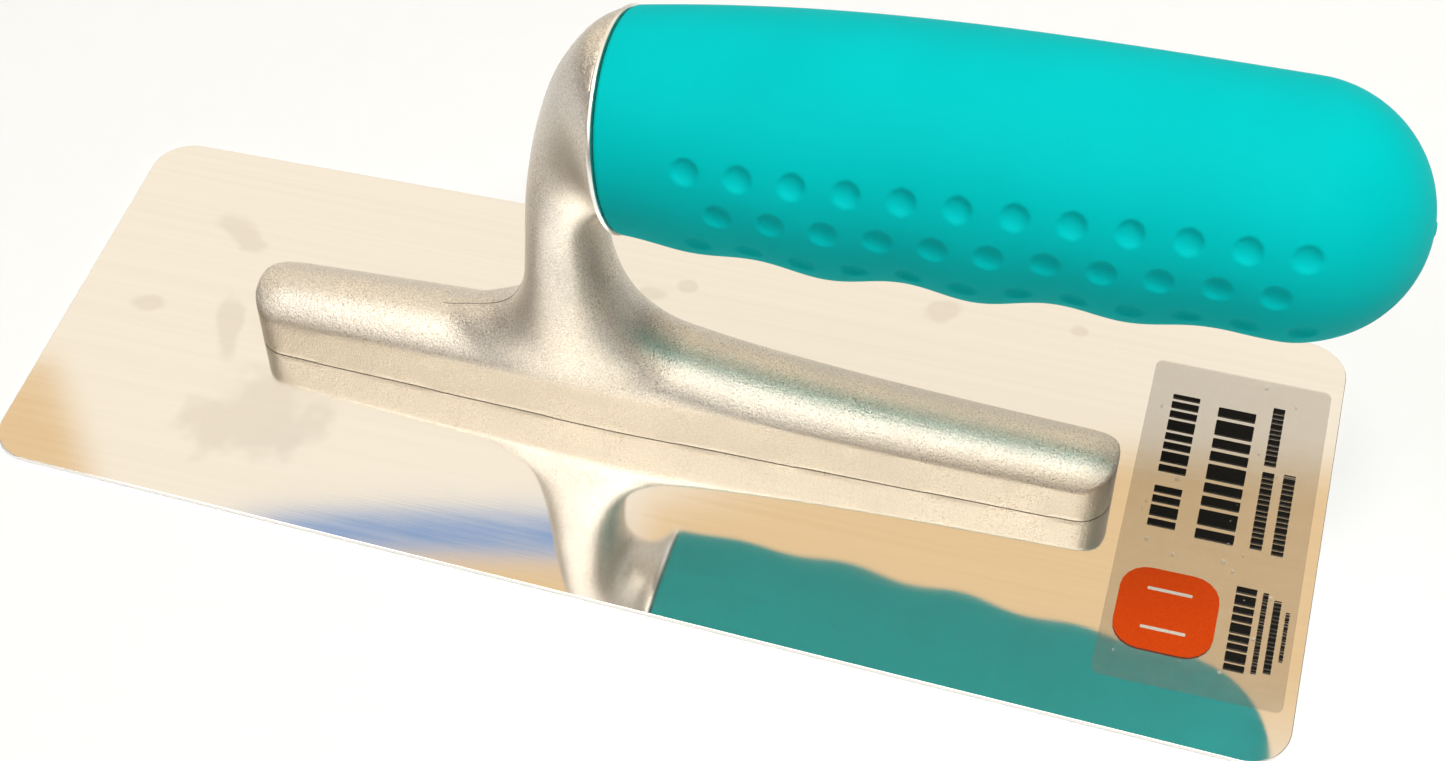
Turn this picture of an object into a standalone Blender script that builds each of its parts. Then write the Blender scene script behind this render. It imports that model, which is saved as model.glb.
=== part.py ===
"""Finishing trowel: steel blade, cast mount with its tang, studs, handle core, rubber grip, film label.

The origin is the centre of the blade's working face.  +X runs along the blade to its wide end, where
the handle's free end is, +Y runs across the blade and +Z points up to the handle.
"""

import math

import bmesh
import bpy
from mathutils import Vector

MM = 0.001
GAP = 0.2 * MM                       # clearance between neighbouring solids

# Blade: a plate that widens from its left end to its right end.
BLADE_LENGTH = 200 * MM
BLADE_LEFT_WIDTH = 70 * MM
BLADE_RIGHT_WIDTH = 80 * MM
BLADE_THICKNESS = 0.7 * MM
BLADE_CORNER = 6.5 * MM
BLADE_EDGE = 0.12 * MM

# Film label on the blade, to the right of the foot bar.
LABEL_CENTRE = (84.5 * MM, -0.3 * MM)
LABEL_SIZE = (27.4 * MM, 60.8 * MM)
LABEL_THICKNESS = 0.15 * MM
LABEL_CORNER = 1.2 * MM

# Mount and handle stand a little off the blade's centre line, towards +Y.
MOUNT_SHIFT = 1.3 * MM

# Foot bar of the mount: flat sides, a crease, and a crown that arches over from side to side.
FOOT_LEFT = -68.0 * MM
FOOT_RIGHT = 68.6 * MM
FOOT_WAIST = -8 * MM                 # where the bar is widest
FOOT_HALF_WIDTH = 7.8 * MM
FOOT_TAPER = 0.0215                  # half width lost per unit of length away from the waist
FOOT_NOSE_LENGTH = 5.6 * MM          # length over which each end turns round in plan
FOOT_NOSE_FULLNESS = 2.3             # 2 is an ellipse, more is blunter
FOOT_CREASE_LEFT = 7.2 * MM
FOOT_CREASE_LEFT_RISE = 3.0 * MM
FOOT_CREASE_RIGHT = 6.6 * MM
FOOT_CREASE_RIGHT_RISE = 4.4 * MM
FOOT_CREASE_RUN = 22 * MM
FOOT_CROWN_ARC = math.radians(62)
FOOT_NOSE_DROP = 1.0 * MM            # how far the crown drops at each end
FOOT_STEPS = 26
FOOT_CROWN_STEPS = 12

# Neck and head: each section runs from a point on the outer side to one on the inner side.
# (outer x, outer z, inner x, inner z, half width across, squareness)
NECK_SECTIONS = (
    (-26.4, 8.0, 0.5, 8.0, 6.2, 3.0),
    (-25.4, 12.0, -1.6, 12.6, 6.6, 3.0),
    (-23.8, 15.5, -4.6, 16.0, 7.1, 2.8),
    (-22.8, 20.0, -7.6, 20.4, 7.5, 2.6),
    (-22.1, 26.0, -9.3, 26.0, 7.7, 2.5),
    (-21.6, 33.0, -10.1, 32.0, 7.7, 2.4),
    (-21.1, 40.0, -10.4, 38.0, 7.8, 2.3),
    (-20.5, 47.5, -9.8, 42.2, 8.5, 2.1),
    (-19.3, 55.0, -8.4, 44.0, 9.8, 2.0),
    (-17.5, 62.2, -6.9, 44.4, 11.5, 2.0),
    (-15.1, 68.6, -5.8, 44.5, 13.3, 2.0),
    (-12.4, 73.2, -5.1, 44.6, 14.8, 2.0),
    (-10.4, 75.3, -4.7, 44.6, 15.5, 2.0),
)
NECK_SIDES = 32

# Collar and handle share one axis, which climbs to the right and bows upwards a little.
COLLAR_CENTRE = (-5.0 * MM, MOUNT_SHIFT, 60.5 * MM)
COLLAR_RADIUS = 15.9 * MM
COLLAR_THICKNESS = 1.0 * MM
COLLAR_TILT = math.radians(4.2)      # tilt of the collar's face against the handle's axis
HANDLE_RISE = math.radians(4.1)
HANDLE_BOW = 1.1 * MM
HANDLE_LENGTH = 107.8 * MM
HANDLE_DOME = 17 * MM
HANDLE_FRONT_RADIUS = 15.8 * MM
HANDLE_SWELL = (12.25 * MM, -21.0 * MM, 10.1 * MM)
HANDLE_TILT_FADE = 15 * MM
GROOVE_DEPTH = 0.85 * MM
GROOVE_PITCH = 20.7 * MM
GROOVE_FIRST_CREST = 9.5 * MM
GROOVE_END = 97 * MM
GRIP_WALL = 3.2 * MM

# Tang, and the bore that takes it.
TANG_RADIUS = 5.6 * MM
TANG_TIP_RADIUS = 4.6 * MM
TANG_LENGTH = 72 * MM
TANG_GROOVE = 0.5 * MM
TANG_RIDGES = 7
TANG_SIDES = 32

# Studs welded on the blade and pressed into blind bores under the foot bar.
STUD_POSITIONS = (-56 * MM, -34 * MM, -12 * MM, 12 * MM, 36 * MM, 58 * MM)
STUD_RADIUS = 1.9 * MM
STUD_HEIGHT = 4.6 * MM


def clear_scene():
    for item in list(bpy.data.objects):
        bpy.data.objects.remove(item, do_unlink=True)


def material(name, colour, roughness, metallic=0.0, alpha=1.0):
    result = bpy.data.materials.new(name)
    result.use_nodes = True
    shader = result.node_tree.nodes["Principled BSDF"]
    shader.inputs["Base Color"].default_value = (*colour, 1.0)
    shader.inputs["Roughness"].default_value = roughness
    shader.inputs["Metallic"].default_value = metallic
    shader.inputs["Alpha"].default_value = alpha
    return result


def add_object(name, mesh_data, surface):
    """Turn a bmesh into a named object with outward normals and one material."""
    bmesh.ops.recalc_face_normals(mesh_data, faces=mesh_data.faces)
    mesh = bpy.data.meshes.new(name)
    mesh_data.to_mesh(mesh)
    mesh_data.free()
    mesh.materials.append(surface)
    result = bpy.data.objects.new(name, mesh)
    bpy.context.scene.collection.objects.link(result)
    mesh.set_sharp_from_angle(angle=math.radians(35))
    return result


def loft(name, rings, surface):
    """Skin a closed body over rings that have the same number of points, with flat ends."""
    data = bmesh.new()
    loops = [[data.verts.new(point) for point in ring] for ring in rings]
    count = len(loops[0])
    for near, far in zip(loops, loops[1:]):
        for i in range(count):
            j = (i + 1) % count
            data.faces.new((near[i], near[j], far[j], far[i]))
    data.faces.new(list(reversed(loops[0])))
    data.faces.new(loops[-1])
    return add_object(name, data, surface)


def boolean(target, tool, operation):
    """Join or cut the target with a tool object that is kept as a hidden guide."""
    modifier = target.modifiers.new(tool.name, "BOOLEAN")
    modifier.operation = operation
    modifier.solver = "EXACT"
    modifier.object = tool
    tool.hide_render = True
    tool.display_type = "WIRE"


def rounded_outline(corners, radius, steps):
    """Plan outline of a convex polygon whose corners are rounded by arcs."""
    points = []
    count = len(corners)
    for i in range(count):
        corner = Vector(corners[i])
        before = (Vector(corners[i - 1]) - corner).normalized()
        after = (Vector(corners[(i + 1) % count]) - corner).normalized()
        half = before.angle(after) / 2
        centre = corner + (before + after).normalized() * radius / math.sin(half)
        start = corner + before * radius / math.tan(half) - centre
        end = corner + after * radius / math.tan(half) - centre
        for k in range(steps + 1):
            spoke = start.lerp(end, k / steps).normalized() * radius
            if 0 < k < steps:
                turn = (math.pi - 2 * half) * k / steps
                cosine, sine = math.cos(turn), math.sin(turn)
                spoke = Vector((start.x * cosine - start.y * sine, start.x * sine + start.y * cosine))
            points.append(centre + spoke)
    return points


def plate(name, outline, bottom, thickness, surface):
    rings = [[(p.x, p.y, z) for p in outline] for z in (bottom, bottom + thickness)]
    return loft(name, rings, surface)


def cylinder_rings(x, bottom, height, radius, sides):
    turns = [2 * math.pi * i / sides for i in range(sides)]
    return [[(x + radius * math.cos(t), MOUNT_SHIFT + radius * math.sin(t), z) for t in turns]
            for z in (bottom, bottom + height)]


def make_blade(surface):
    half = BLADE_LENGTH / 2
    corners = (
        (-half, -BLADE_LEFT_WIDTH / 2), (half, -BLADE_RIGHT_WIDTH / 2),
        (half, BLADE_RIGHT_WIDTH / 2), (-half, BLADE_LEFT_WIDTH / 2),
    )
    outline = rounded_outline(corners, BLADE_CORNER, 10)
    blade = plate("blade", outline, 0.0, BLADE_THICKNESS, surface)
    bevel = blade.modifiers.new("edge", "BEVEL")
    bevel.width = BLADE_EDGE
    bevel.segments = 1
    bevel.limit_method = "ANGLE"
    bevel.angle_limit = math.radians(60)


def make_label(surface):
    x, y = LABEL_CENTRE
    a, b = LABEL_SIZE[0] / 2, LABEL_SIZE[1] / 2
    corners = ((x - a, y - b), (x + a, y - b), (x + a, y + b), (x - a, y + b))
    outline = rounded_outline(corners, LABEL_CORNER, 4)
    plate("label", outline, BLADE_THICKNESS + GAP / 2, LABEL_THICKNESS, surface)


def make_studs(surface):
    for number, x in enumerate(STUD_POSITIONS, start=1):
        rings = cylinder_rings(x, BLADE_THICKNESS + GAP / 2, STUD_HEIGHT, STUD_RADIUS, 24)
        loft(f"blade_stud_{number}", rings, surface)


def foot_crease(x):
    """Height of the flat sides above the blade."""
    if x < FOOT_WAIST:
        reach = (FOOT_WAIST - x) / (FOOT_WAIST - FOOT_LEFT)
        return FOOT_CREASE_LEFT + FOOT_CREASE_LEFT_RISE * (1 - reach)
    return FOOT_CREASE_RIGHT + FOOT_CREASE_RIGHT_RISE * math.exp(-max(x, 0.0) / FOOT_CREASE_RUN)


def foot_section(x):
    """Section of the foot bar at x: flat bottom, upright sides, then an arched crown."""
    full = FOOT_HALF_WIDTH - FOOT_TAPER * abs(x - FOOT_WAIST)
    from_end = min(x - FOOT_LEFT, FOOT_RIGHT - x)
    into_nose = max(0.0, 1 - from_end / FOOT_NOSE_LENGTH)
    narrowing = (1 - into_nose ** FOOT_NOSE_FULLNESS) ** (1 / FOOT_NOSE_FULLNESS)
    half = max(full * narrowing, 0.6 * MM)
    crease = foot_crease(x) - FOOT_NOSE_DROP * into_nose ** 2
    bottom = BLADE_THICKNESS + GAP
    arch = full / math.sin(FOOT_CROWN_ARC)
    points = [(x, MOUNT_SHIFT + half, bottom), (x, MOUNT_SHIFT - half, bottom)]
    for k in range(FOOT_CROWN_STEPS + 1):
        y = half * (2 * k / FOOT_CROWN_STEPS - 1)
        rise = math.sqrt(arch ** 2 - y ** 2) - arch * math.cos(FOOT_CROWN_ARC)
        points.append((x, MOUNT_SHIFT + y, BLADE_THICKNESS + crease + rise))
    return points


def foot_stations():
    """Places along the bar, closer together where its ends turn round."""
    nose = [FOOT_NOSE_LENGTH * (1 - math.cos(k * math.pi / 14)) for k in range(7)]
    left = [FOOT_LEFT + d for d in nose]
    right = [FOOT_RIGHT - d for d in reversed(nose)]
    start, end = FOOT_LEFT + FOOT_NOSE_LENGTH, FOOT_RIGHT - FOOT_NOSE_LENGTH
    middle = [start + (end - start) * k / FOOT_STEPS for k in range(FOOT_STEPS + 1)]
    return left + middle + right


def neck_ring(section):
    outer_x, outer_z, inner_x, inner_z, half_width, square = section
    outer = Vector((outer_x * MM, MOUNT_SHIFT, outer_z * MM))
    inner = Vector((inner_x * MM, MOUNT_SHIFT, inner_z * MM))
    centre = (outer + inner) / 2
    points = []
    for i in range(NECK_SIDES):
        turn = 2 * math.pi * i / NECK_SIDES
        cosine, sine = math.cos(turn), math.sin(turn)
        along = math.copysign(abs(cosine) ** (2 / square), cosine)
        across = math.copysign(abs(sine) ** (2 / square), sine)
        points.append(centre + (outer - centre) * along + Vector((0, half_width * MM * across, 0)))
    return points


def collar_ring(offset, radius):
    """Ring in a plane parallel to the collar's face, offset towards the handle."""
    tilt = HANDLE_RISE + COLLAR_TILT
    normal = Vector((math.cos(tilt), 0, math.sin(tilt)))
    upward = Vector((-math.sin(tilt), 0, math.cos(tilt)))
    centre = Vector(COLLAR_CENTRE) + normal * offset
    points = []
    for i in range(NECK_SIDES):
        turn = 2 * math.pi * i / NECK_SIDES
        points.append(centre + upward * radius * math.cos(turn) + Vector((0, radius * math.sin(turn), 0)))
    return points


def axis_ring(distance, radius, sides):
    """Round ring across the straight line of the tang, at a distance from the collar."""
    direction = Vector((math.cos(HANDLE_RISE), 0, math.sin(HANDLE_RISE)))
    upward = Vector((-math.sin(HANDLE_RISE), 0, math.cos(HANDLE_RISE)))
    centre = Vector(COLLAR_CENTRE) + direction * distance
    points = []
    for i in range(sides):
        turn = 2 * math.pi * i / sides
        points.append(centre + upward * radius * math.cos(turn) + Vector((0, radius * math.sin(turn), 0)))
    return points


def tang_rings():
    """The tang from the collar's face to its tip, with shallow grooves that key it in the core."""
    rings = [collar_ring(-GAP, TANG_RADIUS + 0.8 * MM)]
    ridge = (TANG_LENGTH - 8 * MM) / TANG_RIDGES
    for k in range(TANG_RIDGES):
        share = k / (TANG_RIDGES - 1)
        radius = TANG_RADIUS + (TANG_TIP_RADIUS - TANG_RADIUS) * share
        start = 4 * MM + ridge * k
        rings.append(axis_ring(start, radius, TANG_SIDES))
        rings.append(axis_ring(start + 0.6 * ridge, radius, TANG_SIDES))
        rings.append(axis_ring(start + 0.7 * ridge, radius - TANG_GROOVE, TANG_SIDES))
        rings.append(axis_ring(start + 0.9 * ridge, radius - TANG_GROOVE, TANG_SIDES))
    rings.append(axis_ring(TANG_LENGTH - 2 * MM, TANG_TIP_RADIUS - 0.3 * MM, TANG_SIDES))
    rings.append(axis_ring(TANG_LENGTH, TANG_TIP_RADIUS - 1.6 * MM, TANG_SIDES))
    return rings


def make_mount(surface):
    """One casting: foot bar, neck, head, collar and tang."""
    mount = loft("mount_casting", [foot_section(x) for x in foot_stations()], surface)
    rings = [neck_ring(section) for section in NECK_SECTIONS]
    rings.append(collar_ring(-COLLAR_THICKNESS - GAP, COLLAR_RADIUS - 0.2 * MM))
    rings.append(collar_ring(-GAP - 0.2 * MM, COLLAR_RADIUS))
    rings.append(collar_ring(-GAP, COLLAR_RADIUS - 0.2 * MM))
    rings.extend(tang_rings())
    boolean(mount, loft("neck_guide", rings, surface), "UNION")
    for number, x in enumerate(STUD_POSITIONS, start=1):
        bore = cylinder_rings(x, -1 * MM, STUD_HEIGHT + 1 * MM + BLADE_THICKNESS + 2 * GAP,
                              STUD_RADIUS + GAP, 24)
        boolean(mount, loft(f"bore_guide_{number}", bore, surface), "DIFFERENCE")


def handle_radius(distance):
    """Radius of the handle along its axis, before the finger grooves."""
    u = distance / HANDLE_LENGTH
    radius = HANDLE_FRONT_RADIUS
    for power, swell in enumerate(HANDLE_SWELL, start=1):
        radius += swell * u ** power
    into_dome = max(0.0, (distance - HANDLE_LENGTH + HANDLE_DOME) / HANDLE_DOME)
    return radius * math.sqrt(max(0.0, 1 - into_dome ** 2))


def groove_wave(distance, turn):
    """Wave of the underside: crests between the fingers, deepest straight below the axis."""
    if distance >= GROOVE_END:
        return 0.0
    below = max(0.0, 0.2 - math.cos(turn)) / 1.2
    envelope = math.sin(math.pi * distance / GROOVE_END) ** 0.7
    phase = 2 * math.pi * (distance - GROOVE_FIRST_CREST) / GROOVE_PITCH
    return GROOVE_DEPTH * envelope * below * math.cos(phase)


def handle_ring(distance, inset, sides):
    """Ring of the handle's skin at a distance along its axis, moved inwards by the inset."""
    u = distance / HANDLE_LENGTH
    bow = HANDLE_BOW * 4 * u * (1 - u)
    lean = max(0.0, 1 - distance / HANDLE_TILT_FADE) * math.tan(COLLAR_TILT)
    base = max(handle_radius(distance) - inset, 0.0)
    points = []
    for i in range(sides):
        turn = 2 * math.pi * i / sides
        radius = base + (groove_wave(distance, turn) if base > 0 else 0.0)
        side = radius * math.sin(turn)
        height = radius * math.cos(turn)
        along = distance - height * lean
        lift = height + bow
        x = COLLAR_CENTRE[0] + along * math.cos(HANDLE_RISE) - lift * math.sin(HANDLE_RISE)
        z = COLLAR_CENTRE[2] + along * math.sin(HANDLE_RISE) + lift * math.cos(HANDLE_RISE)
        points.append(Vector((x, COLLAR_CENTRE[1] + side, z)))
    return points


def dome_stations(length, dome, steps, dome_steps):
    """Distances along the handle, even at first and then closing up over the rounded end."""
    straight = [(length - dome) * k / steps for k in range(steps)]
    curved = [length - dome + dome * math.sin(math.pi / 2 * k / dome_steps) for k in range(dome_steps)]
    return straight + curved + [length - dome * 0.002]


def make_grip(surface):
    """Rubber skin: outer rings to the rounded end, then back along the inside to the front."""
    outer = [handle_ring(d, 0.0, 32) for d in dome_stations(HANDLE_LENGTH, HANDLE_DOME, 26, 9)]
    depth = HANDLE_LENGTH - GRIP_WALL
    inner = [handle_ring(d, GRIP_WALL, 32) for d in dome_stations(depth, HANDLE_DOME * 0.8, 14, 5)]
    tube(surface, "handle_grip", outer, inner)


def tube(surface, name, outer, inner):
    """Cup-shaped body: an outer skin and an inner skin joined by a flat rim at the front."""
    data = bmesh.new()
    skins = []
    for rings in (outer, inner):
        loops = [[data.verts.new(point) for point in ring] for ring in rings]
        for near, far in zip(loops, loops[1:]):
            bridge(data, near, far)
        data.faces.new(loops[-1])
        skins.append(loops)
    bridge(data, skins[0][0], skins[1][0])
    return add_object(name, data, surface)


def bridge(data, near, far):
    count = len(near)
    for i in range(count):
        j = (i + 1) % count
        data.faces.new((near[i], near[j], far[j], far[i]))


def make_core(surface):
    """Rigid core inside the rubber, with the bore that takes the tang."""
    depth = HANDLE_LENGTH - GRIP_WALL - GAP
    inset = GRIP_WALL + GAP
    outer = [handle_ring(d, inset, 32) for d in dome_stations(depth, HANDLE_DOME * 0.8, 14, 5)]
    bore_radius = TANG_RADIUS + 0.8 * MM + GAP
    bore = [handle_ring(0.0, handle_radius(0.0) - bore_radius, 32)]
    bore.append(axis_ring(5 * MM, TANG_RADIUS + GAP, 32))
    bore.append(axis_ring(TANG_LENGTH - 4 * MM, TANG_TIP_RADIUS + 3 * GAP, 32))
    bore.append(axis_ring(TANG_LENGTH + 1 * MM, TANG_TIP_RADIUS, 32))
    tube(surface, "handle_core", outer, bore)


def main():
    clear_scene()
    steel = material("polished_steel", (0.80, 0.76, 0.68), 0.12, 1.0)
    stud_steel = material("stud_steel", (0.62, 0.61, 0.60), 0.35, 1.0)
    aluminium = material("cast_aluminium", (0.72, 0.69, 0.65), 0.45, 1.0)
    rubber = material("teal_rubber", (0.0, 0.55, 0.53), 0.6)
    plastic = material("core_plastic", (0.03, 0.03, 0.035), 0.5)
    film = material("clear_film", (0.72, 0.71, 0.68), 0.3, 0.0, 0.6)
    make_blade(steel)
    make_label(film)
    make_studs(stud_steel)
    make_mount(aluminium)
    make_core(plastic)
    make_grip(rubber)


main()
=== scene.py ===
import math
import random

import bmesh
import bpy
import numpy as np
from mathutils import Matrix, Vector
from mathutils.bvhtree import BVHTree


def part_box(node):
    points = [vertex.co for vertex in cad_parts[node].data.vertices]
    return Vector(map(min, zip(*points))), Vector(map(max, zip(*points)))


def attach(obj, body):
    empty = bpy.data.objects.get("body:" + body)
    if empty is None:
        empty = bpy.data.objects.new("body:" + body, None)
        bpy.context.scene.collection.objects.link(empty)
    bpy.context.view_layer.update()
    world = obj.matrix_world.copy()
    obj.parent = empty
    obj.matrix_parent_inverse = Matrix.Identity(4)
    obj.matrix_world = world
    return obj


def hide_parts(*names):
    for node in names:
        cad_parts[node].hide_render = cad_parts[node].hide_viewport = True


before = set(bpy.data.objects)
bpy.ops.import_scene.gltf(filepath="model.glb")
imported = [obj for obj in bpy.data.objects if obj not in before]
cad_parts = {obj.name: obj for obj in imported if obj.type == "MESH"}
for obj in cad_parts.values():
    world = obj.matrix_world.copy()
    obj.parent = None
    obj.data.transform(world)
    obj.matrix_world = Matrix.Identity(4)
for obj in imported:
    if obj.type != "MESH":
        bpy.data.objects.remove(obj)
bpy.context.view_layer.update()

# Lengths are in metres, in the frame of the CAD: the origin is the centre of the blade's working
# face, +X runs to the handle's free end, +Y across the blade and +Z up to the handle.
MM = 0.001
GAP = 0.2 * MM

BLADE_LOW, BLADE_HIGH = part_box("blade")
BLADE_TOP = BLADE_HIGH.z
BLADE_LENGTH = BLADE_HIGH.x - BLADE_LOW.x
BLADE_LEFT_WIDTH = 70 * MM
BLADE_RIGHT_WIDTH = 80 * MM
BLADE_CORNER = 6.5 * MM

LABEL_LOW, LABEL_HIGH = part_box("label")
LABEL_CORNER = 1.2 * MM

# Steps of the blade's eased edge: height above the face, inset.
BLADE_EDGE = ((0, 0.14 * MM), (0.02 * MM, 0.06 * MM), (0.07 * MM, 0.015 * MM), (0.16 * MM, 0))

MOUNT_SHIFT = 1.3 * MM               # mount and handle stand this far towards +Y
FOOT_LEFT = -68.0 * MM
FOOT_RIGHT = 68.6 * MM
FOOT_WAIST = -8 * MM
FOOT_HALF_WIDTH = 7.8 * MM
FOOT_TAPER = 0.0215
FOOT_NOSE_LENGTH = 5.6 * MM
FOOT_NOSE_FULLNESS = 2.3
FOOT_CREASE_LEFT = 7.2 * MM
FOOT_CREASE_LEFT_RISE = 3.0 * MM
FOOT_CREASE_RIGHT = 6.6 * MM
FOOT_CREASE_RIGHT_RISE = 4.4 * MM
FOOT_CREASE_RUN = 22 * MM
FOOT_CROWN_ARC = math.radians(62)
FOOT_NOSE_DROP = 1.0 * MM
FOOT_LIFT = 0.12 * MM                # fine joint between the foot and the blade
STUD_POSITIONS = (-56 * MM, -34 * MM, -12 * MM, 12 * MM, 36 * MM, 58 * MM)
STUD_BORE_RADIUS = 2.1 * MM
STUD_BORE_TOP = BLADE_TOP + 4.8 * MM
STUD_BORE_SIDES = 48

# Neck and head sections in mm: outer x, outer z, inner x, inner z, half width, squareness.
NECK_SECTIONS = (
    (-26.4, 7.0, 0.5, 7.0, 6.6, 3.2), (-29.0, 11.0, 3.5, 11.0, 7.4, 2.8),
    (-35.0, 14.0, 8.2, 13.3, 7.5, 2.1), (-31.0, 15.2, 3.4, 15.2, 7.6, 2.1),
    (-27.0, 17.0, -0.6, 16.8, 7.6, 2.2), (-24.6, 20.0, -4.0, 18.8, 7.6, 2.3),
    (-23.2, 24.0, -6.5, 21.6, 7.6, 2.4), (-22.3, 28.0, -8.2, 25.2, 7.6, 2.4),
    (-21.9, 31.5, -9.4, 29.4, 7.6, 2.4), (-21.5, 36.0, -10.0, 34.2, 7.6, 2.4),
    (-21.1, 41.5, -10.2, 38.6, 7.7, 2.35), (-20.5, 47.5, -9.8, 42.2, 8.0, 2.25),
    (-19.3, 55.0, -8.4, 44.0, 8.2, 2.1), (-17.5, 62.2, -6.9, 44.4, 8.7, 2.0),
    (-15.1, 68.6, -5.8, 44.5, 9.8, 2.0), (-12.4, 73.2, -5.1, 44.6, 11.5, 2.0),
    (-10.4, 75.3, -4.7, 44.6, 13.2, 2.0),
)
NECK_SIDES = 96
NECK_STEPS = 5                       # rows between two sections

# The fused casting is smoothed all over, then more strongly where the neck meets the foot bar.
CASTING_VOXEL = 0.42 * MM
SKIN_ROUNDS = 9
BLEND_ROUNDS = 55

# Collar and handle share one axis, which climbs to the right; the collar's face leans a bit more.
COLLAR_CENTRE = np.array((-5.0, 1.3, 60.5)) * MM
COLLAR_RADIUS = 15.9 * MM
COLLAR_TILT = math.radians(4.2)
COLLAR_SIDES = 192
# Section of the machined rim in mm: offset from the collar's face, radius.
COLLAR_PROFILE = ((-0.85, 7.4), (-0.85, 15.9), (-0.75, 15.95), (-0.5, 15.95), (-0.32, 15.85),
                  (-0.2, 15.6), (-0.2, 7.4))
HANDLE_RISE = math.radians(4.1)
HANDLE_BOW = 1.1 * MM
HANDLE_LENGTH = 107.8 * MM
HANDLE_DOME = 17 * MM
HANDLE_FRONT_RADIUS = 15.8 * MM
HANDLE_SWELL = (12.25 * MM, -21.0 * MM, 10.1 * MM)   # factors of the 1st to 3rd power of the length
HANDLE_TILT_FADE = 15 * MM
HANDLE_LAST_RING = HANDLE_LENGTH - HANDLE_DOME * 0.00005
HANDLE_LIP = 0.5 * MM                # rounding of the grip's front edge
GROOVE_DEPTH = 0.85 * MM
GROOVE_PITCH = 20.7 * MM
GROOVE_FIRST_CREST = 9.5 * MM
GROOVE_END = 97 * MM
GRIP_WALL = 3.2 * MM
GRIP_SIDES = 360
TANG_RADIUS = 5.6 * MM
TANG_TIP_RADIUS = 4.6 * MM
TANG_LENGTH = 72 * MM
TANG_GROOVE = 0.5 * MM
TANG_RIDGES = 7
# One ridge and its groove: share of the pitch, share of the groove's depth.
TANG_RIDGE_PROFILE = ((0, 0.15), (0.04, 0), (0.58, 0), (0.62, 0.15), (0.7, 1), (0.9, 1))

# Rows of round dimples in the grip, mirrored on the far side:
# turn about the axis from the top in degrees, first dimple, pitch along the axis, count.
DIMPLE_ROWS = ((293.5, 12.6 * MM, 7.30 * MM, 12), (272.5, 17.0 * MM, 7.27 * MM, 11),
               (249.0, 13.5 * MM, 7.27 * MM, 12))
DIMPLE_RADIUS = 1.85 * MM
DIMPLE_DEPTH = 0.70 * MM

# Rings of the gate mark in mm: offset along the handle's axis, radius.
GATE_PROFILE = ((-0.5, 0.9), (0.02, 0.8), (0.12, 0.62), (0.16, 0.4))
GATE_SIDES = 32

BUBBLE_COUNT = 26
BUBBLE_SEED = 7
BUBBLE_SIDES = 16
BUBBLE_RISE = 0.05 * MM

# Printed lines in mm: left, right, start and length along +Y, stroke, gap between strokes.
PRINT_LINES = (
    (74.4, 78.6, -2.4, 7.6, 1.05, 0.85), (74.4, 78.6, 8.2, 15.4, 1.05, 0.85),
    (81.6, 87.4, -3.0, 26.8, 1.6, 1.0), (89.8, 91.6, -2.8, 14.6, 0.5, 0.45),
    (89.8, 91.6, 13.4, 11.6, 0.5, 0.45), (93.0, 94.8, -3.2, 15.3, 0.5, 0.45),
    (89.0, 92.0, -25.2, 15.4, 0.9, 0.6), (92.9, 93.7, -24.9, 14.4, 0.28, 0.26),
    (94.6, 95.7, -24.4, 12.8, 0.4, 0.3), (96.5, 97.1, -21.9, 8.6, 0.25, 0.25),
)
BADGE_X, BADGE_Y = 72.4 * MM, -25.0 * MM
BADGE_SIZE = 14.6 * MM
BADGE_CORNER = 4.2 * MM
STRIPE_X = 76.4 * MM
STRIPES_Y = (-21.4 * MM, -14.4 * MM)
STRIPE_LENGTH = 6.6 * MM
STRIPE_WIDTH = 0.55 * MM
STRIPE_LIFT = 0.035 * MM

# Faint smudges on the blade: x, y, half length and half width in mm, turn in degrees.
SMUDGES = ((-78.5, 17.5, 6.5, 2.6, -35), (-87.5, -0.3, 2.6, 1.9, 10), (-73.5, -1.5, 2.2, 6.5, 20),
           (-62.0, -17.5, 11.5, 8.5, 20), (-10.0, 22.5, 2.6, 1.8, 0), (-4.8, 25.6, 1.6, 1.2, 0),
           (35.5, 31.0, 3.4, 2.2, 20), (57.9, 32.6, 1.8, 1.4, 0))
SMUDGE_DEPTH = 5 * MM

# Darker towards the bottom of the foot bar; painted shade in the head's hollow beside the collar.
FOOT_TONE_HEIGHTS = (8 * MM, 11 * MM)
HOLLOW_SHADE_PLACE = (-11.5 * MM, MOUNT_SHIFT, 58 * MM)
HOLLOW_SHADE_REACH = (4.5 * MM, 1.0, 9 * MM)

FLOOR_HALF_WIDTH = 3.0
FLOOR_STEPS = 12
FLOOR_HEIGHT = -0.02 * MM

# Camera, solved from the outline of the blade in the photograph.
CAMERA_AZIMUTH = math.radians(15.766)
CAMERA_ELEVATION = math.radians(49.845)
CAMERA_ROLL = math.radians(-0.434)
CAMERA_TARGET = (5.762, 7.936, 0.7)  # in mm
CAMERA_DISTANCE = 394.18 * MM
CAMERA_LENS = 62.63
CAMERA_SENSOR = 36.0

# Colours of the room that the metal mirrors.
ROOM = (0.42, 0.36, 0.27, 1)
ZENITH = (1.0, 0.94, 0.83, 1)
HIGH_FRONT = (0.60, 0.51, 0.375, 1)
LOW_FRONT = (0.13, 0.105, 0.10, 1)
BACK_WALL = (1.11, 1.0, 0.83, 1)
RIGHT_SIDE = (0.20, 0.17, 0.145, 1)
LEFT_SIDE = (0.20, 0.165, 0.14, 1)
TAN_CARD = (0.93, 0.66, 0.36, 1)
BLUE_CARD = (0.25, 0.41, 0.72, 1)
CARD_SLOPE = 0.105                   # degrees of elevation for each degree of azimuth
LAMP_WHITE = (1.0, 0.985, 0.95)
FILL_WHITE = (1.0, 0.985, 0.96)


# ---------------------------------------------------------------- mesh helpers

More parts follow.
